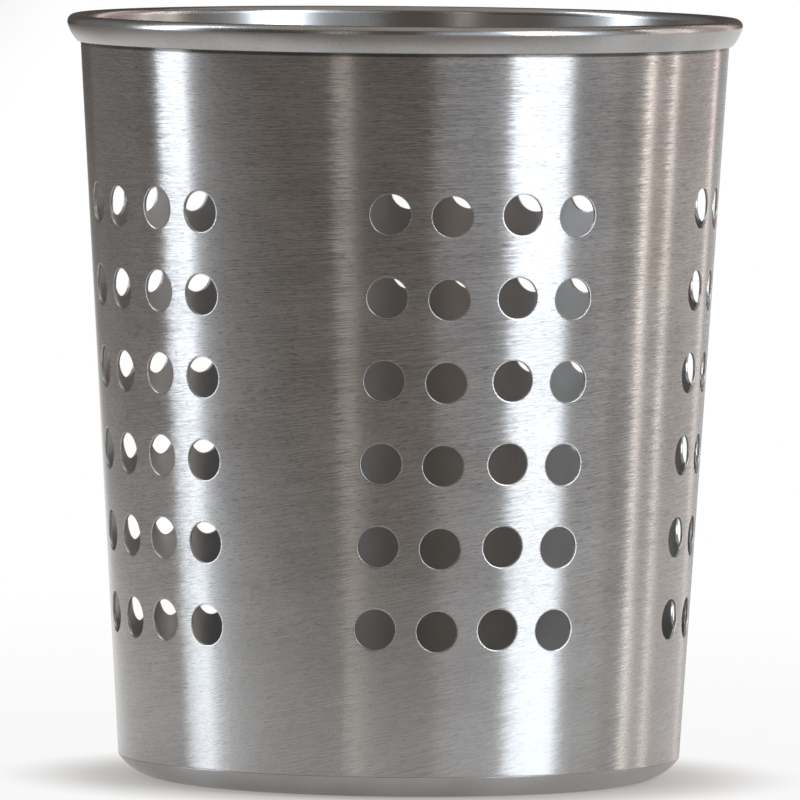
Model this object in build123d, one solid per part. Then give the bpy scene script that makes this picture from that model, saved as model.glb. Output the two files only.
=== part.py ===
from build123d import *
import os
from math import acos, asin, atan, atan2, cos, degrees, pi, sin, tan

# Cutlery holder: a tapered steel cup with punched walls, a curled rim and a pressed base.
# Millimetres, +Z up. The origin is on the table under the middle of the base, and -Y is the front.

# Overall sizes
HEIGHT = 135.5
RIM_RADIUS = 60.0
SHEET = 0.5
CUT_OVERRUN = 2.0

# Wall: a cone rolled from sheet. Both radii are of its outer face, carried on to table and top.
WALL_FOOT_RADIUS = 49.7
WALL_TOP_RADIUS = 57.9

# Rim: the top of the wall curled outwards, with its raw edge just clear of the wall
CURL_HEIGHT = 4.5
CURL_EDGE_GAP = 0.15

# Wall holes: leaning blocks at even stations, of which one in three stays plain. They are counted both
# ways from the front group, and the plain strip at the back, where the sheet's ends meet, is narrower.
GROUPS = 5
STATIONS_PER_GROUP = 3
BLOCKS_PER_GROUP = 2
STATION_ANGLE = 24.25
FRONT_GROUP_ANGLE = 14.4
COLUMNS = 2
ROWS = 6
WALL_HOLE_DIAMETER = 7.2
COLUMN_PITCH = 10.9
TOP_ROW_DROP = 33.0
BOTTOM_ROW_RISE = 29.75
BLOCK_LEAN_ANGLE = 1.55

# Base: a pan with a rounded edge flush with the wall, a ledge under the wall and a flange inside it
SEAM_HEIGHT = 4.0
EDGE_RADIUS = 9.5
LAP_HEIGHT = 6.0
LAP_CLEARANCE = 0.1
FOOT_RING_WIDTH = 6.0
PANEL_RISE = 1.5
PANEL_STEP_WIDTH = 1.5

# Drain holes: one in the middle of the base and rings of them round it
DRAIN_DIAMETER = 7.2
DRAIN_RINGS = 2
DRAINS_IN_FIRST_RING = 6
DRAIN_MARGIN = 7.8

# Punches reach through the sheet both ways from the face that they are placed on
PUNCH_LENGTH = 2 * (SHEET + CUT_OVERRUN)

# The wall's taper, and the sheet's thickness measured level across it
WALL_SLOPE = (WALL_TOP_RADIUS - WALL_FOOT_RADIUS) / HEIGHT
WALL_TILT = atan(WALL_SLOPE)
SHEET_ACROSS = SHEET / cos(WALL_TILT)


def wall_radius(z):
    """Outer radius of the wall at a height."""
    return WALL_FOOT_RADIUS + WALL_SLOPE * z


def flange_radius(z):
    """Outer radius of the base's flange, which laps the inside of the wall."""
    return wall_radius(z) - SHEET_ACROSS - LAP_CLEARANCE


def bend(centre, radius, start, end):
    """Arc of a bend in the profile plane, between two angles in radians."""
    angles = start, (start + end) / 2, end
    return ThreePointArc(*[centre + Vector(radius * cos(angle), radius * sin(angle)) for angle in angles])


def both_ways(count):
    """Steps of one that lie evenly on both sides of zero."""
    return [step - (count - 1) / 2 for step in range(count)]


def spin(edges):
    """Solid turned about Z from a closed profile of radius and height."""
    return revolve(Plane.XZ * make_face(edges), axis=Axis.Z)


def wall_with_curl():
    """The plain wall: a tapered sheet that bends over the top and comes back down to its raw edge."""
    # The bend touches the wall's inner face, the top and the rim's outer radius
    rim_reach = RIM_RADIUS - wall_radius(HEIGHT) + SHEET_ACROSS
    curl = rim_reach * cos(WALL_TILT) / (1 + (1 - WALL_SLOPE) * cos(WALL_TILT))
    throat = curl - SHEET
    centre = Vector(RIM_RADIUS - curl, HEIGHT - curl)

    # From the rim's outer radius a wider bend comes back in, to the raw edge beside the wall
    edge_z = HEIGHT - CURL_HEIGHT
    edge_in = RIM_RADIUS - wall_radius(edge_z) - CURL_EDGE_GAP
    edge_drop = centre.Y - edge_z
    tail = (edge_in**2 + edge_drop**2 - SHEET**2) / (2 * (edge_in - SHEET))
    tail_centre = Vector(RIM_RADIUS - tail, centre.Y)
    tail_angle = -atan2(edge_drop, tail - edge_in)

    wall_angle = pi - WALL_TILT
    foot_outer = Vector(wall_radius(SEAM_HEIGHT), SEAM_HEIGHT)
    foot_inner = foot_outer - Vector(SHEET_ACROSS, 0)
    over = bend(centre, curl, wall_angle, 0)
    down = bend(tail_centre, tail, 0, tail_angle)
    up = bend(tail_centre, tail - SHEET, tail_angle, 0)
    under = bend(centre, throat, 0, wall_angle)
    return spin([
        over,
        down,
        Line(down @ 1, up @ 0),
        up,
        under,
        Polyline(under @ 1, foot_outer, foot_inner, over @ 0),
    ])


def perforated_wall():
    """Wall with its groups of holes, each punched square to the sheet."""
    top_row = HEIGHT - TOP_ROW_DROP
    row_pitch = (top_row - BOTTOM_ROW_RISE) / (ROWS - 1)
    middle = (top_row + BOTTOM_ROW_RISE) / 2
    lean = BLOCK_LEAN_ANGLE * pi / 180
    punch = Cylinder(WALL_HOLE_DIAMETER / 2, PUNCH_LENGTH)

    punches = []
    for group in both_ways(GROUPS):
        for block in both_ways(BLOCKS_PER_GROUP):
            station = FRONT_GROUP_ANGLE + (group * STATIONS_PER_GROUP + block) * STATION_ANGLE
            for spot in GridLocations(COLUMN_PITCH, row_pitch, COLUMNS, ROWS):
                across = spot.position.X * cos(lean) + spot.position.Y * sin(lean)
                z = middle + spot.position.Y * cos(lean) - spot.position.X * sin(lean)
                face = Plane.front.rotated((0, 0, station + degrees(across / wall_radius(z))))
                centre = face.z_dir * wall_radius(z) + Vector(0, 0, z)
                punches.append(Plane(centre, face.x_dir, face.z_dir - Vector(0, 0, WALL_SLOPE)) * punch)
    return wall_with_curl() - punches


def base_pan():
    """Base pressed from one sheet: raised panel, foot ring, rounded edge, ledge and flange."""
    seam_radius = wall_radius(SEAM_HEIGHT)
    ledge_angle = -asin((EDGE_RADIUS - SEAM_HEIGHT) / EDGE_RADIUS)
    edge_centre = Vector(seam_radius - EDGE_RADIUS * cos(ledge_angle), EDGE_RADIUS)
    ring_radius = edge_centre.X - FOOT_RING_WIDTH
    panel_radius = ring_radius - PANEL_STEP_WIDTH
    lap_top = SEAM_HEIGHT + LAP_HEIGHT

    # The inner face lies one sheet inside the outer one, and its rounded edge runs up into the flange
    inner_edge = EDGE_RADIUS - SHEET
    step_shift = SHEET * tan(atan2(PANEL_RISE, PANEL_STEP_WIDTH) / 2)
    flange_inner = flange_radius(SEAM_HEIGHT) - SHEET_ACROSS
    flange_angle = -acos((flange_inner - edge_centre.X) / inner_edge)

    outside = bend(edge_centre, EDGE_RADIUS, -pi / 2, ledge_angle)
    inside = bend(edge_centre, inner_edge, flange_angle, -pi / 2)
    ledge_and_flange = Polyline(
        outside @ 1,
        (flange_radius(SEAM_HEIGHT), SEAM_HEIGHT),
        (flange_radius(lap_top), lap_top),
        (flange_radius(lap_top) - SHEET_ACROSS, lap_top),
        inside @ 0,
    )
    foot_and_panel = Polyline(
        inside @ 1,
        (ring_radius + step_shift, SHEET),
        (panel_radius + step_shift, PANEL_RISE + SHEET),
        (0, PANEL_RISE + SHEET),
        (0, PANEL_RISE),
        (panel_radius, PANEL_RISE),
        (ring_radius, 0),
        outside @ 0,
    )
    pan = spin([outside, ledge_and_flange, inside, foot_and_panel])

    drain = Pos(0, 0, PANEL_RISE) * Cylinder(DRAIN_DIAMETER / 2, PUNCH_LENGTH)
    drains = [drain]
    ring_pitch = (panel_radius - DRAIN_MARGIN) / DRAIN_RINGS
    for ring in range(1, DRAIN_RINGS + 1):
        places = PolarLocations(ring * ring_pitch, ring * DRAINS_IN_FIRST_RING)
        drains += [place * drain for place in places]
    return pan - drains


os.makedirs("parts", exist_ok=True)
export_step(perforated_wall(), "parts/perforated_wall.step")
export_step(base_pan(), "parts/base_pan.step")
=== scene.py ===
from math import acos, asin, atan, atan2, cos, pi, radians, sin, tan

import bmesh
import bpy
from mathutils import Matrix, Vector
from mathutils.geometry import tessellate_polygon


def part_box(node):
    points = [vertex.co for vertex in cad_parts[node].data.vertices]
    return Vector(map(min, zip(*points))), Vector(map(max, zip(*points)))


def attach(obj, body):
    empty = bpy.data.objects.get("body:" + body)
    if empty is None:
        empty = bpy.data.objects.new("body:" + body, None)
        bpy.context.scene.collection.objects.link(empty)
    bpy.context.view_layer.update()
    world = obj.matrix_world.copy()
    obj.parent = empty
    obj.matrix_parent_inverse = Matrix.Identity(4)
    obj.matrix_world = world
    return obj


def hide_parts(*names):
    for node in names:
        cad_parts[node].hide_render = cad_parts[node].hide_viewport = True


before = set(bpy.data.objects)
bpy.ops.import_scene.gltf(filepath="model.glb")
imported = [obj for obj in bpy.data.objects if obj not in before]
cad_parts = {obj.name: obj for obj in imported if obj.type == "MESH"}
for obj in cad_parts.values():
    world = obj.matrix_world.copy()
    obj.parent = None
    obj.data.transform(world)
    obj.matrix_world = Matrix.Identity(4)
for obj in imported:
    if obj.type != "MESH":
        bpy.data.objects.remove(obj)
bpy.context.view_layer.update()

# Cutlery holder: a punched steel cup with a curled rim and a pressed base.
# Metres, +Z up, in the frame of the solids. -Y is the front.
MM = 0.001

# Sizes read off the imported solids
wall_low, wall_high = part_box("perforated_wall")
HEIGHT = wall_high.z
RIM_RADIUS = wall_high.x
SEAM_HEIGHT = wall_low.z

# Wall and curl, as the solids have them
SHEET = 0.5 * MM
WALL_FOOT_RADIUS = 49.7 * MM
WALL_TOP_RADIUS = 57.9 * MM
CURL_HEIGHT = 4.5 * MM
CURL_EDGE_GAP = 0.15 * MM

# How far the curl's tight bend runs past the rim's widest place. The solid's bend ends there, so its flank
# is rounder.
CURL_TURN = radians(17)

# Wall holes
GROUPS = 5
STATIONS_PER_GROUP = 3
BLOCKS_PER_GROUP = 2
STATION_STEP = radians(24.25)
FRONT_GROUP = radians(14.4)
ROWS = 6
HOLE_RADIUS = 3.6 * MM
COLUMN_PITCH = 10.9 * MM
TOP_ROW_DROP = 33.0 * MM
BOTTOM_ROW_RISE = 29.75 * MM
LEAN = radians(1.55)

# Base
EDGE_RADIUS = 9.5 * MM
LAP_HEIGHT = 6.0 * MM
LAP_CLEARANCE = 0.1 * MM
FOOT_RING_WIDTH = 6.0 * MM
PANEL_RISE = 1.5 * MM
PANEL_STEP_WIDTH = 1.5 * MM
DRAIN_RADIUS = 3.6 * MM
DRAIN_RINGS = 2
DRAINS_IN_FIRST_RING = 6
DRAIN_MARGIN = 7.8 * MM

# Rounded edges and bends of the sheet
HOLE_EDGE = 0.1 * MM
FOOT_EDGE = 0.05 * MM
RAW_EDGE = 0.08 * MM
PANEL_BEND = 0.5 * MM

# How finely the meshes are divided.
# A hold is a narrow flat beside an edge, which keeps the edge's shading to itself.
HOLD = 0.2 * MM
HOLE_SIDE = 8
HOLE_POINTS = 4 * HOLE_SIDE
LOWER_LEFT = 1.25 * pi
CELL_WIDTH = 10.25 * MM
PLAIN_COLUMNS = 14
ROWS_BELOW = 6
ROWS_ABOVE = 8
CURL_STEPS = 18
BEND_STEPS = 5
EDGE_STEPS = 14
SPIN_STEPS = 192
MIDDLE_RING_SHARE = 0.45
WELD_DISTANCE = 0.002 * MM

# The wall's taper, and the layout of its holes
WALL_SLOPE = (WALL_TOP_RADIUS - WALL_FOOT_RADIUS) / HEIGHT
WALL_TILT = atan(WALL_SLOPE)
SHEET_ACROSS = SHEET / cos(WALL_TILT)
STATIONS = GROUPS * STATIONS_PER_GROUP - 1
BACK_STRIP = 2 * pi - STATIONS * STATION_STEP
TOP_ROW = HEIGHT - TOP_ROW_DROP
ROW_PITCH = (TOP_ROW - BOTTOM_ROW_RISE) / (ROWS - 1)
MIDDLE = (TOP_ROW + BOTTOM_ROW_RISE) / 2
BLOCK_LOW = BOTTOM_ROW_RISE - ROW_PITCH / 2
BLOCK_HIGH = TOP_ROW + ROW_PITCH / 2
BLOCK_REACH = COLUMN_PITCH / 2 + HOLE_RADIUS + HOLD

# Material slots of the wall
OUTSIDE, BARE, CURLED = 0, 1, 2


def mix(a, b, share):
    return a + (b - a) * share


def steps(low, high, count):
    """Evenly spaced values from low to high, both included."""
    return [mix(low, high, i / count) for i in range(count + 1)]


def wall_radius(z):
    """Outer radius of the wall at a height."""
    return WALL_FOOT_RADIUS + WALL_SLOPE * z


def flange_radius(z):
    """Outer radius of the base's flange, which laps the inside of the wall."""
    return wall_radius(z) - SHEET_ACROSS - LAP_CLEARANCE


def around(angle, radius, z):
    """Point at an angle from the front, towards +X."""
    return Vector((radius * sin(angle), -radius * cos(angle), z))


def wall_point(place, depth):
    """Point of the wall at an angle and height, some depth into the sheet from its outer face."""
    angle, z = place
    return around(angle, wall_radius(z) - depth * cos(WALL_TILT), z + depth * sin(WALL_TILT))


def circle(centre, radius):
    """Points round a hole, anticlockwise from its lower left."""
    return [polar(centre, radius, LOWER_LEFT + 2 * pi * k / HOLE_POINTS) for k in range(HOLE_POINTS)]


def polar(centre, radius, angle):
    """Point in a plane at an angle and distance from a centre."""
    return centre + radius * Vector((cos(angle), sin(angle)))


def arc(centre, radius, start, end, count):
    """Points of a bend in the profile plane, between two angles."""
    return [polar(centre, radius, angle) for angle in steps(start, end, count)]


def edge_loops(radius, edge):
    """Radius and depth of each loop down a punched hole, with both of its edges rounded."""
    turns = steps(0, pi / 2, 2)
    entry = [(radius + edge * (1 - sin(t)), edge * (1 - cos(t))) for t in turns]
    return entry + [(r, SHEET - depth) for r, depth in reversed(entry)]


class Skin:
    """Collects faces by their corner points and welds them into one mesh object."""

    def __init__(self):
        self.corners = []
        self.faces = []
        self.slots = []

    def face(self, points, slot):
        first = len(self.corners)
        self.corners += points
        self.faces.append(range(first, first + len(points)))
        self.slots.append(slot)

    def strip(self, lower, upper, slot):
        """Ring of quads between two loops of points."""
        for i in range(len(lower)):
            self.face([lower[i - 1], lower[i], upper[i], upper[i - 1]], slot)

    def build(self, name, materials):
        mesh = bpy.data.meshes.new(name)
        mesh.from_pydata(self.corners, [], self.faces)
        for polygon, slot in zip(mesh.polygons, self.slots):
            polygon.material_index = slot
        shape = bmesh.new()
        shape.from_mesh(mesh)
        bmesh.ops.remove_doubles(shape, verts=shape.verts, dist=WELD_DISTANCE)
        bmesh.ops.recalc_face_normals(shape, faces=shape.faces)
        shape.to_mesh(mesh)
        shape.free()
        mesh.shade_smooth()
        for material in materials:
            mesh.materials.append(material)
        piece = bpy.data.objects.new(name, mesh)
        bpy.context.collection.objects.link(piece)
        return piece


# The curl: a tight bend over the top and past the widest place, then a wide one back to the raw edge.
# The wide bend's radius is the one whose inner face ends at the raw edge.
rim_reach = RIM_RADIUS - wall_radius(HEIGHT) + SHEET_ACROSS
CURL = rim_reach * cos(WALL_TILT) / (1 + (1 - WALL_SLOPE) * cos(WALL_TILT))
curl_centre = Vector((RIM_RADIUS - CURL, HEIGHT - CURL))
curl_start = pi - WALL_TILT
raw_edge = Vector((wall_radius(HEIGHT - CURL_HEIGHT) + CURL_EDGE_GAP, HEIGHT - CURL_HEIGHT))
edge_way = raw_edge - curl_centre
turn_way = Vector((cos(CURL_TURN), -sin(CURL_TURN)))
tail_chord = (edge_way - CURL * turn_way).length_squared
TAIL = (tail_chord - SHEET**2) / (2 * (CURL - SHEET - edge_way.dot(turn_way)))
tail_centre = curl_centre - (TAIL - CURL) * turn_way
tail_end = atan2(*reversed(raw_edge - tail_centre))
WALL_TOP = curl_centre.y + (CURL - SHEET) * sin(curl_start)


class Station:
    """A strip of the wall between two leaning lines. Its layout has x across from its middle, and z up."""

    def __init__(self, angle, width, punched):
        self.angle = angle
        self.width = width
        self.punched = punched

    def place(self, x, z, lean=0):
        """Angle and height of a layout point. lean is how far its row leans, from 0 to 1."""
        y = z - MIDDLE
        height = MIDDLE + y * cos(LEAN) - x * sin(LEAN) * lean
        return self.angle + (x * cos(LEAN) + y * sin(LEAN)) / wall_radius(height), height

    def border(self, side, z):
        """Place at a share of the strip's half width, from -1 at its left line to 1 at its right one."""
        angle, height = self.place(0, z)
        return angle + side * self.width / 2, height

    def block_place(self, x, z):
        """Place in a punched strip, whose rows lean at the holes and are level at its ends and sides."""
        half = self.width / 2 * wall_radius(z)
        side = (half - abs(x)) / (half - BLOCK_REACH)
        low = (z - SEAM_HEIGHT - FOOT_EDGE) / (BLOCK_LOW - SEAM_HEIGHT - FOOT_EDGE)
        high = (WALL_TOP - z) / (WALL_TOP - BLOCK_HIGH)
        return self.place(x, z, min(1, side) * max(0, min(1, low, high)))

    def row(self, z):
        """Places across the strip at one height."""
        if self.punched:
            inner = [self.block_place(x, z) for x in steps(-CELL_WIDTH, CELL_WIDTH, 2 * HOLE_SIDE)]
        else:
            inner = [self.border(side, z) for side in steps(-1, 1, PLAIN_COLUMNS)[1:-1]]
        return [self.border(-1, z), *inner, self.border(1, z)]


def stations():
    """Strips counted both ways from the front group, one in three plain, and the strip left at the back."""
    strips = []
    for number in range(STATIONS):
        angle = FRONT_GROUP + (number - (STATIONS - 1) / 2) * STATION_STEP
        punched = number % STATIONS_PER_GROUP < BLOCKS_PER_GROUP
        strips.append(Station(angle, STATION_STEP, punched))
    strips.append(Station(FRONT_GROUP + pi, BACK_STRIP, False))
    return strips


def both_faces(skin, places):
    skin.face([wall_point(p, 0) for p in places], OUTSIDE)
    skin.face([wall_point(p, SHEET) for p in reversed(places)], BARE)


def sheet_rows(skin, rows):
    for lower, upper in zip(rows, rows[1:]):
        for i in range(len(lower) - 1):
            both_faces(skin, [lower[i], lower[i + 1], upper[i + 1], upper[i]])


def cell_border(low, high):
    """Points round a cell, anticlockwise from its lower left corner."""
    xs = steps(low.x, high.x, HOLE_SIDE)
    zs = steps(low.y, high.y, HOLE_SIDE)
    bottom = [Vector((x, low.y)) for x in xs[:-1]]
    right = [Vector((high.x, z)) for z in zs[:-1]]
    top = [Vector((x, high.y)) for x in reversed(xs[1:])]
    left = [Vector((low.x, z)) for z in reversed(zs[1:])]
    return bottom + right + top + left


def punched_cell(skin, station, column, line):
    """The sheet round one hole, and the hole's edge."""
    centre = Vector((column * COLUMN_PITCH / 2, BOTTOM_ROW_RISE + line * ROW_PITCH))
    low = Vector((min(0, column) * CELL_WIDTH, centre.y - ROW_PITCH / 2))
    high = Vector((max(0, column) * CELL_WIDTH, centre.y + ROW_PITCH / 2))
    border = cell_border(low, high)
    near = circle(centre, HOLE_RADIUS + HOLE_EDGE + HOLD)
    middle = [mix(a, b, MIDDLE_RING_SHARE) for a, b in zip(near, border)]
    mouth = circle(centre, HOLE_RADIUS + HOLE_EDGE)
    rings = [[station.block_place(*p) for p in ring] for ring in (mouth, near, middle, border)]
    for inner, outer in zip(rings, rings[1:]):
        for i in range(HOLE_POINTS):
            both_faces(skin, [inner[i - 1], outer[i - 1], outer[i], inner[i]])

    loops = []
    for radius, depth in edge_loops(HOLE_RADIUS, HOLE_EDGE):
        loops.append([wall_point(station.block_place(*p), depth) for p in circle(centre, radius)])
    for outer, inner in zip(loops, loops[1:]):
        skin.strip(outer, inner, BARE)


def punched_block(skin, station, heights):
    """A block of holes, with a narrow strip of sheet on each side of it."""
    for side in (-1, 1):
        inner = [station.block_place(side * CELL_WIDTH, z) for z in heights]
        border = [station.border(side, z) for z in heights]
        left, right = (border, inner) if side < 0 else (inner, border)
        sheet_rows(skin, list(zip(left, right)))
    for column in (-1, 1):
        for line in range(ROWS):
            punched_cell(skin, station, column, line)


def foot_edge(skin, places):
    """The wall's lower edge, which stands on the base's ledge."""
    turns = steps(0, pi / 2, 2)
    entry = [(FOOT_EDGE * (1 - sin(t)), FOOT_EDGE * (1 - cos(t))) for t in turns]
    profile = entry + [(rise, SHEET - depth) for rise, depth in reversed(entry)]
    loops = []
    for rise, depth in profile:
        drop = FOOT_EDGE - rise
        loops.append([wall_point((angle, z), depth) - Vector((0, 0, drop)) for angle, z in places])
    for outer, inner in zip(loops, loops[1:]):
        skin.strip(inner, outer, BARE)


def curl_face(depth, inset):
    """Radius and height down the curl, some depth into the sheet. The last point is set in from the face."""
    stop = tail_end + RAW_EDGE / TAIL
    over = arc(curl_centre, CURL - depth, curl_start, -CURL_TURN, CURL_STEPS)
    down = arc(tail_centre, TAIL - depth, -CURL_TURN, stop + HOLD / TAIL, CURL_STEPS)
    last = polar(tail_centre, TAIL - depth, stop)
    edge = polar(tail_centre, TAIL - depth - inset, tail_end)
    return [*over, *down[1:], last, edge]


def curled_rim(skin, angles):
    faces = curl_face(SHEET, -RAW_EDGE), curl_face(0, RAW_EDGE)
    hidden, shown = [[[around(a, *p) for a in angles] for p in face] for face in faces]
    for loops in (hidden, shown):
        for lower, upper in zip(loops, loops[1:]):
            skin.strip(lower, upper, CURLED)
    skin.strip(hidden[-1], shown[-1], CURLED)


def perforated_wall(materials):
    """The punched sheet: outer and inner faces, hole edges, foot edge and curled rim."""
    skin = Skin()
    foot = SEAM_HEIGHT + FOOT_EDGE
    below = [foot, *steps(foot + HOLD, BLOCK_LOW, ROWS_BELOW)]
    block = steps(BLOCK_LOW, BLOCK_HIGH, ROWS * HOLE_SIDE)
    above = steps(BLOCK_HIGH, WALL_TOP, ROWS_ABOVE)
    foot_places = []
    top_places = []
    for station in stations():
        sheet_rows(skin, [station.row(z) for z in below])
        sheet_rows(skin, [station.row(z) for z in above])
        if station.punched:
            punched_block(skin, station, block)
        else:
            sheet_rows(skin, [station.row(z) for z in block])
        foot_places += station.row(foot)[:-1]
        top_places += station.row(WALL_TOP)[:-1]
    foot_edge(skin, foot_places)
    curled_rim(skin, [angle for angle, _ in top_places])
    return skin.build("cup_wall", materials)


def bent(before, corner, after, radius):
    """Points of a bend of this radius at a corner, with a hold on each side of it."""
    back = (before - corner).normalized()
    on = (after - corner).normalized()
    half = back.angle(on) / 2
    run = radius / tan(half)
    centre = corner + (back + on).normalized() * (radius / sin(half))
    first = corner + back * run - centre
    last = corner + on * run - centre
    turn = [centre + radius * first.slerp(last, share) for share in steps(0, 1, BEND_STEPS)]
    return [corner + back * (run + HOLD), *turn, corner + on * (run + HOLD)]


# The base's section, as the solid has it
ledge_angle = -asin((EDGE_RADIUS - SEAM_HEIGHT) / EDGE_RADIUS)
edge_centre = Vector((wall_radius(SEAM_HEIGHT) - EDGE_RADIUS * cos(ledge_angle), EDGE_RADIUS))
RING_RADIUS = edge_centre.x - FOOT_RING_WIDTH
PANEL_RADIUS = RING_RADIUS - PANEL_STEP_WIDTH
PANEL_TOP = PANEL_RISE + SHEET
FLAT_RADIUS = PANEL_RADIUS - 2 * PANEL_BEND


def pan_section():
    """Radius and height from the panel's top, over the flange and the rounded edge, to its underside."""
    inner_edge = EDGE_RADIUS - SHEET
    step_shift = SHEET * tan(atan2(PANEL_RISE, PANEL_STEP_WIDTH) / 2)
    flange_inner = flange_radius(SEAM_HEIGHT) - SHEET_ACROSS
    flange_angle = -acos((flange_inner - edge_centre.x) / inner_edge)
    lap_top = SEAM_HEIGHT + LAP_HEIGHT
    inside = arc(edge_centre, inner_edge, -pi / 2, flange_angle, EDGE_STEPS)
    outside = arc(edge_centre, EDGE_RADIUS, ledge_angle, -pi / 2, EDGE_STEPS)

    panel_top = Vector((FLAT_RADIUS, PANEL_TOP))
    step_high = Vector((PANEL_RADIUS + step_shift, PANEL_TOP))
    step_low = Vector((RING_RADIUS + step_shift, SHEET))
    lip_inner = Vector((flange_radius(lap_top) - SHEET_ACROSS, lap_top))
    lip_outer = Vector((flange_radius(lap_top), lap_top))
    ledge = Vector((flange_radius(SEAM_HEIGHT), SEAM_HEIGHT))
    ring = Vector((RING_RADIUS, 0))
    panel = Vector((PANEL_RADIUS, PANEL_RISE))
    panel_under = Vector((FLAT_RADIUS, PANEL_RISE))
    return [
        panel_top,
        *bent(panel_top, step_high, step_low, PANEL_BEND + SHEET),
        *bent(step_high, step_low, inside[0], PANEL_BEND),
        *inside,
        *bent(inside[-1], lip_inner, lip_outer, RAW_EDGE),
        *bent(lip_inner, lip_outer, ledge, RAW_EDGE),
        ledge,
        *bent(ledge, outside[0], outside[1], FOOT_EDGE),
        *outside[1:],
        *bent(outside[-1], ring, panel, PANEL_BEND + SHEET),
        *bent(ring, panel, panel_under, PANEL_BEND),
        panel_under,
    ]


def drain_centres():
    """One drain in the middle of the base, and rings of them round it."""
    pitch = (PANEL_RADIUS - DRAIN_MARGIN) / DRAIN_RINGS
    centres = [Vector((0, 0))]
    for ring in range(1, DRAIN_RINGS + 1):
        count = ring * DRAINS_IN_FIRST_RING
        centres += [polar(centres[0], ring * pitch, 2 * pi * k / count) for k in range(count)]
    return centres


def base_pan(materials):
    """The pressed base, with its drains."""
    skin = Skin()
    angles = steps(0, 2 * pi, SPIN_STEPS)[:-1]
    rings = [[around(a, *point) for a in angles] for point in pan_section()]
    for lower, upper in zip(rings, rings[1:]):
        skin.strip(lower, upper, OUTSIDE)

    for centre in drain_centres():
        loops = [(DRAIN_RADIUS + HOLE_EDGE + HOLD, 0), *edge_loops(DRAIN_RADIUS, HOLE_EDGE)]
        loops.append((DRAIN_RADIUS + HOLE_EDGE + HOLD, SHEET))
        rows = [[Vector((*p, PANEL_TOP - depth)) for p in circle(centre, r)] for r, depth in loops]
        for lower, upper in zip(rows, rows[1:]):
            skin.strip(lower, upper, OUTSIDE)

    for rim, z in ((rings[0], PANEL_TOP), (rings[-1], PANEL_RISE)):
        holes = [circle(centre, DRAIN_RADIUS + HOLE_EDGE + HOLD) for centre in drain_centres()]
        outlines = [rim, *[[Vector((*p, z)) for p in hole] for hole in holes]]
        corners = [corner for outline in outlines for corner in outline]
        for triangle in tessellate_polygon(outlines):
            skin.face([corners[i] for i in triangle], OUTSIDE)
    return skin.build("cup_base", materials)


# Colour sockets of the Mix node, whose names repeat
FIRST_COLOR, SECOND_COLOR, MIXED_COLOR = 6, 7, 2


class Graph:
    """Adds shader nodes to a material, and links them to its Principled shader."""

    def __init__(self, name):
        self.material = bpy.data.materials.new(name)
        self.material.use_nodes = True
        self.tree = self.material.node_tree
        self.shader = self.tree.nodes["Principled BSDF"]

    def put(self, socket, value):
        """Set an input to a value, or link another node's output to it."""
        if isinstance(value, bpy.types.NodeSocket):
            self.tree.links.new(value, socket)
        else:
            socket.default_value = value

    def add(self, kind, inputs, **settings):
        """New node with these settings and inputs. Inputs go by name or by number."""
        made = self.tree.nodes.new("ShaderNode" + kind)
        for key, value in settings.items():
            setattr(made, key, value)
        for key, value in inputs.items():
            self.put(made.inputs[key], value)
        return made

    def math(self, operation, a, b):
        return self.add("Math", {0: a, 1: b}, operation=operation).outputs[0]

    def weigh(self, first, second, share):
        """Sum of two values, of which the first has this share."""
        rest = self.math("MULTIPLY", second, 1 - share)
        return self.math("ADD", self.math("MULTIPLY", first, share), rest)

    def spread(self, value, low, high, low_out, high_out):
        """Value taken smoothly from one range to another."""
        inputs = {"Value": value, "From Min": low, "From Max": high, "To Min": low_out, "To Max": high_out}
        return self.add("MapRange", inputs, interpolation_type="SMOOTHSTEP").outputs["Result"]

    def blend(self, share, first, second):
        """Colour between two colours."""
        made = self.add("Mix", {}, data_type="RGBA")
        self.put(made.inputs["Factor"], share)
        self.put(made.inputs[FIRST_COLOR], (*first, 1))
        self.put(made.inputs[SECOND_COLOR], (*second, 1))
        return made.outputs[MIXED_COLOR]

    def noise(self, place, size, detail):
        """Noise whose features are about this size along each axis."""
        stretch = tuple(1 / side for side in size)
        scaled = self.add("VectorMath", {0: place, 1: stretch}, operation="MULTIPLY").outputs[0]
        inputs = {"Vector": scaled, "Scale": 1.0, "Detail": detail}
        return self.add("TexNoise", inputs).outputs["Fac"]

    def shade(self, **inputs):
        """Set or link inputs of the Principled shader. An underscore stands for a space."""
        for key, value in inputs.items():
            self.put(self.shader.inputs[key.replace("_", " ")], value)


# Brushing: streaks that run level round the wall near the rim, and climb to the right near the foot
FOOT_CLIMB = 0.24
TOP_CLIMB = 0.03
SCRATCH = (2.4 * MM, 2.4 * MM, 0.13 * MM)
STROKE = (12 * MM, 12 * MM, 0.3 * MM)
BLOTCH = (14 * MM, 14 * MM, 10 * MM)
SPECK = (0.5 * MM, 0.5 * MM, 0.5 * MM)
NICK = (1.4 * MM, 1.4 * MM, 0.18 * MM)
SCRATCH_SHARE = 0.6
STREAK_SHARE = 0.75
SPECK_SHARE = 0.3
SWAY = 0.06

# Ranges of noise over which the finish changes
WORN = 0.35, 0.65
STREAKED = 0.3, 0.7
NICKED = 0.3, 0.42

# How much of the tone is left in a scratch near the foot and from the middle up, and in the painted shadow
# under the curl
FOOT_TONE = 0.85
UPPER_TONE = 0.6
CURL_SHADOW_TONE = 0.25

# Colours and roughnesses of the steel, each from its duller to its brighter places
BRUSHED_COLORS = (0.06, 0.05, 0.04), (0.433, 0.423, 0.413)
BRUSHED_ROUGHNESS = 0.3, 0.25
MILL_COLORS = (0.42, 0.405, 0.39), (0.48, 0.47, 0.458)
MILL_ROUGHNESS = 0.38, 0.32
POLISHED_COLORS = (0.34, 0.334, 0.326), (0.4, 0.394, 0.386)
POLISHED_ROUGHNESS = 0.3, 0.22

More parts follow.
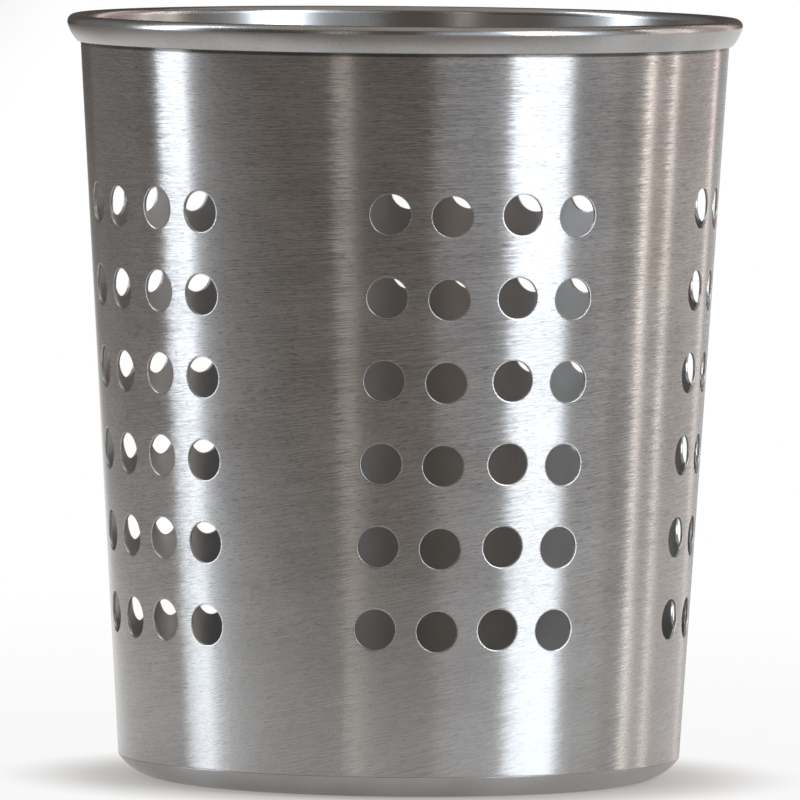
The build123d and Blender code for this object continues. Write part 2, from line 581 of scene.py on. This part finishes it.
# The gloss is stretched up and down, a quarter turn from the tangent round the cup
QUARTER_TURN = 0.25
BRUSHED_GRAIN = 1.0
MILL_GRAIN = 0.9
POLISHED_GRAIN = 0.2

# A dark strip painted on the outer face right under the curl's raw edge: painted shadow of the curl on the
# wall
CURL_SHADOW_WIDTH = 0.35 * MM
CURL_SHADOW_LINE = tail_centre.y + TAIL * sin(tail_end) - 2 * CURL_SHADOW_WIDTH


def brushed_steel():
    """The wall's outer face, brushed round."""
    graph = Graph("brushed_steel")
    place = graph.add("TexCoord", {}).outputs["Object"]
    split = graph.add("SeparateXYZ", {0: place}).outputs
    climb = graph.spread(split["Z"], 0.0, HEIGHT, FOOT_CLIMB, TOP_CLIMB)
    level = graph.math("SUBTRACT", split["Z"], graph.math("MULTIPLY", climb, split["X"]))
    grain = graph.add("CombineXYZ", {"X": split["X"], "Y": split["Y"], "Z": level}).outputs[0]

    scratch = graph.noise(grain, SCRATCH, 2.0)
    stroke = graph.noise(grain, STROKE, 2.0)
    blotch = graph.noise(place, BLOTCH, 3.0)
    streak = graph.weigh(scratch, stroke, SCRATCH_SHARE)
    worn = graph.weigh(streak, blotch, STREAK_SHARE)

    # Painted shadow: the strip right under the curl is darkened, as if the curl shaded it
    curl_shadow = graph.spread(split["Z"], CURL_SHADOW_LINE, CURL_SHADOW_LINE + CURL_SHADOW_WIDTH, 1.0, CURL_SHADOW_TONE)
    faint = graph.spread(split["Z"], 0.0, HEIGHT / 2, FOOT_TONE, UPPER_TONE)
    nicked = graph.spread(graph.noise(grain, NICK, 1.0), *NICKED, faint, 1.0)
    scratched = graph.math("MULTIPLY", graph.spread(worn, *WORN, faint, 1.0), nicked)
    # The tone is the scratches, darkened by the painted shadow under the curl
    tone = graph.math("MULTIPLY", scratched, curl_shadow)

    # Each scratch turns the light a little to one side
    tangent = graph.add("Tangent", {}, direction_type="RADIAL", axis="Z").outputs["Tangent"]
    rise = graph.add("CombineXYZ", {"Z": climb}).outputs[0]
    along = graph.add("VectorMath", {0: tangent, 1: rise}, operation="ADD").outputs[0]
    normal = graph.add("NewGeometry", {}).outputs["Normal"]
    sway = graph.math("MULTIPLY", graph.math("SUBTRACT", streak, 0.5), SWAY)
    turned = graph.add("VectorMath", {0: tangent, "Scale": sway}, operation="SCALE").outputs[0]
    swayed = graph.add("VectorMath", {0: normal, 1: turned}, operation="ADD").outputs[0]
    facing = graph.add("VectorMath", {0: swayed}, operation="NORMALIZE").outputs[0]

    graph.shade(
        Base_Color=graph.blend(tone, *BRUSHED_COLORS),
        Roughness=graph.spread(streak, *STREAKED, *BRUSHED_ROUGHNESS),
        Metallic=1.0,
        Anisotropic=BRUSHED_GRAIN,
        Anisotropic_Rotation=QUARTER_TURN,
        Tangent=along,
        Normal=facing,
    )
    return graph.material


def bare_steel(name, colors, roughness, grain):
    """Sheet that isn't brushed. Grain is how far its gloss is stretched up and down."""
    graph = Graph(name)
    place = graph.add("TexCoord", {}).outputs["Object"]
    cloud = graph.noise(place, BLOTCH, 4.0)
    speck = graph.noise(place, SPECK, 3.0)
    worn = graph.weigh(speck, cloud, SPECK_SHARE)
    shine = graph.spread(worn, *WORN, 0.0, 1.0)
    graph.shade(
        Base_Color=graph.blend(shine, *colors),
        Roughness=graph.spread(worn, *WORN, *roughness),
        Metallic=1.0,
        Anisotropic=grain,
        Anisotropic_Rotation=QUARTER_TURN,
        Tangent=graph.add("Tangent", {}, direction_type="RADIAL", axis="Z").outputs["Tangent"],
    )
    return graph.material


mill = bare_steel("mill_steel", MILL_COLORS, MILL_ROUGHNESS, MILL_GRAIN)
polished = bare_steel("polished_steel", POLISHED_COLORS, POLISHED_ROUGHNESS, POLISHED_GRAIN)
wall = perforated_wall([brushed_steel(), mill, polished])
base = base_pan([mill])
for piece, solid, slot in ((wall, "perforated_wall", "wall"), (base, "base_pan", "base")):
    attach(piece, "root")
    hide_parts(solid)

# Floor, and the distances over which its white fades: to each side, to the front, at the foot and far off
FLOOR_HALF = 8.0
PAPER_COLOR = (0.43, 0.372, 0.33, 1)
PAPER_ROUGHNESS = 0.9
FOOT_WHITE = 0.32
NEAR_WHITE = 0.92
LEFT_FADE = -0.4, -0.15
RIGHT_FADE = 0.6, 1.2
FRONT_FADE = -0.22, -0.05
FOOT_FADE = 0.045, 0.075
FAR_FADE = 0.09, 0.5


def paper():
    """Pale paper that is white behind the cup, and keeps a share of its own shade there for the shadow.
    Round the foot its white fades by distance, which paints a contact shadow.
    """
    graph = Graph("paper")
    graph.shade(Base_Color=PAPER_COLOR, Roughness=PAPER_ROUGHNESS)
    place = graph.add("TexCoord", {}).outputs["Object"]
    split = graph.add("SeparateXYZ", {0: place}).outputs
    left = graph.spread(split["X"], *LEFT_FADE, 0.0, 1.0)
    right = graph.spread(split["X"], *RIGHT_FADE, 1.0, 0.0)
    sideways = graph.math("MULTIPLY", left, right)
    behind = graph.spread(split["Y"], *FRONT_FADE, 0.0, 1.0)
    apart = graph.add("VectorMath", {0: place}, operation="LENGTH").outputs["Value"]
    # Painted contact shadow: the white fades towards the foot, so a darker ring lies round it, over the real
    # shadow in the paper's own shade
    foot = graph.spread(apart, *FOOT_FADE, FOOT_WHITE, NEAR_WHITE)
    far = graph.spread(apart, *FAR_FADE, 0.0, 1 - NEAR_WHITE)
    clear = graph.math("ADD", foot, far)
    rays = graph.add("LightPath", {}).outputs
    seen = graph.math("MAXIMUM", rays["Is Camera Ray"], rays["Is Glossy Ray"])
    seen = graph.math("MAXIMUM", seen, rays["Is Transmission Ray"])
    area = graph.math("MULTIPLY", sideways, behind)
    share = graph.math("MULTIPLY", area, graph.math("MULTIPLY", clear, seen))
    white = graph.add("Emission", {"Color": (1, 1, 1, 1), "Strength": 1.0}).outputs[0]
    both = graph.add("MixShader", {0: share, 1: graph.shader.outputs[0], 2: white}).outputs[0]
    graph.put(graph.tree.nodes["Material Output"].inputs["Surface"], both)
    return graph.material


mesh = bpy.data.meshes.new("floor")
corners = [(-1, -1, 0), (1, -1, 0), (1, 1, 0), (-1, 1, 0)]
mesh.from_pydata([Vector(corner) * FLOOR_HALF for corner in corners], [], [(0, 1, 2, 3)])
mesh.materials.append(paper())
floor = bpy.data.objects.new("floor", mesh)
bpy.context.collection.objects.link(floor)

# Studio light
AMBIENT_COLOR = (1.0, 0.84, 0.72, 1)
AMBIENT_STRENGTH = 0.11
world = bpy.data.worlds.new("studio")
world.use_nodes = True
world.node_tree.nodes["Background"].inputs["Color"].default_value = AMBIENT_COLOR
world.node_tree.nodes["Background"].inputs["Strength"].default_value = AMBIENT_STRENGTH
bpy.context.scene.world = world

LAMP_DISTANCE = 1.4
LAMP_HEIGHT = 1.1
SOFTBOX_HEIGHT = 1.3
TALL_HEIGHT = 2.0
TOP_PANEL = 2.2
SKY = (0.81, 0.9, 1.0)
COOL = (0.9, 0.955, 1.0)
WARM = (1.0, 0.94, 0.885)
EARTH = (1.0, 0.83, 0.77)


def soft_light(name, color, width, height, brightness, place):
    """Soft rectangular light. Brightness 1 is a sheet that looks white."""
    lamp = bpy.data.lights.new(name, "AREA")
    lamp.shape = "RECTANGLE"
    lamp.size = width
    lamp.size_y = height
    lamp.energy = pi * width * height * brightness
    lamp.color = color
    light = bpy.data.objects.new(name, lamp)
    light.matrix_world = place
    light.visible_camera = False
    bpy.context.collection.objects.link(light)


def strip_light(name, color, azimuth, width, brightness, height=LAMP_HEIGHT):
    """Upright light that faces the cup. Azimuth 0 is the camera's side, positive to the right."""
    angle = radians(azimuth)
    spot = Matrix.Translation(around(angle, LAMP_DISTANCE, height / 2))
    upright = Matrix.Rotation(angle, 4, "Z") @ Matrix.Rotation(pi / 2, 4, "X")
    soft_light(name, color, width, height, brightness, spot @ upright)


soft_light("top_panel", WARM, TOP_PANEL, TOP_PANEL, 0.45, Matrix.Translation((0, 0, LAMP_DISTANCE)))

# Colour, azimuth in degrees, width and brightness of each strip, and its height where it isn't the usual one
strip_light("left_strip", SKY, -90.5, 0.36, 8.2, TALL_HEIGHT)
strip_light("left_fill", COOL, -130, 1.0, 0.15)
strip_light("front_strip", WARM, -22, 0.17, 1.3)
strip_light("front_fill", SKY, 24, 0.7, 0.84)
strip_light("softbox", SKY, 49.4, 0.56, 8.4, SOFTBOX_HEIGHT)
strip_light("side_fill", SKY, 72, 0.5, 0.58)
strip_light("right_strip", WARM, 97, 0.08, 6.5)
strip_light("far_right_strip", WARM, 111, 0.08, 4.5)
strip_light("right_fill", EARTH, 120, 1.2, 0.6)
strip_light("back_strip", EARTH, 146, 0.12, 2.3)

# Camera at the photograph's angle
CAMERA_PLACE = Vector((-0.32, -2600, 216.5)) * MM
CAMERA_PITCH = 0.05736
CAMERA_ROLL = 0.0089
LENS = 658.9
camera_data = bpy.data.cameras.new("camera")
camera_data.lens = LENS
camera = bpy.data.objects.new("camera", camera_data)
camera.matrix_world = (
    Matrix.Translation(CAMERA_PLACE)
    @ Matrix.Rotation(pi / 2 - CAMERA_PITCH, 4, "X")
    @ Matrix.Rotation(CAMERA_ROLL, 4, "Z")
)
bpy.context.collection.objects.link(camera)
bpy.context.scene.camera = camera
bpy.context.scene.view_settings.view_transform = "Standard"
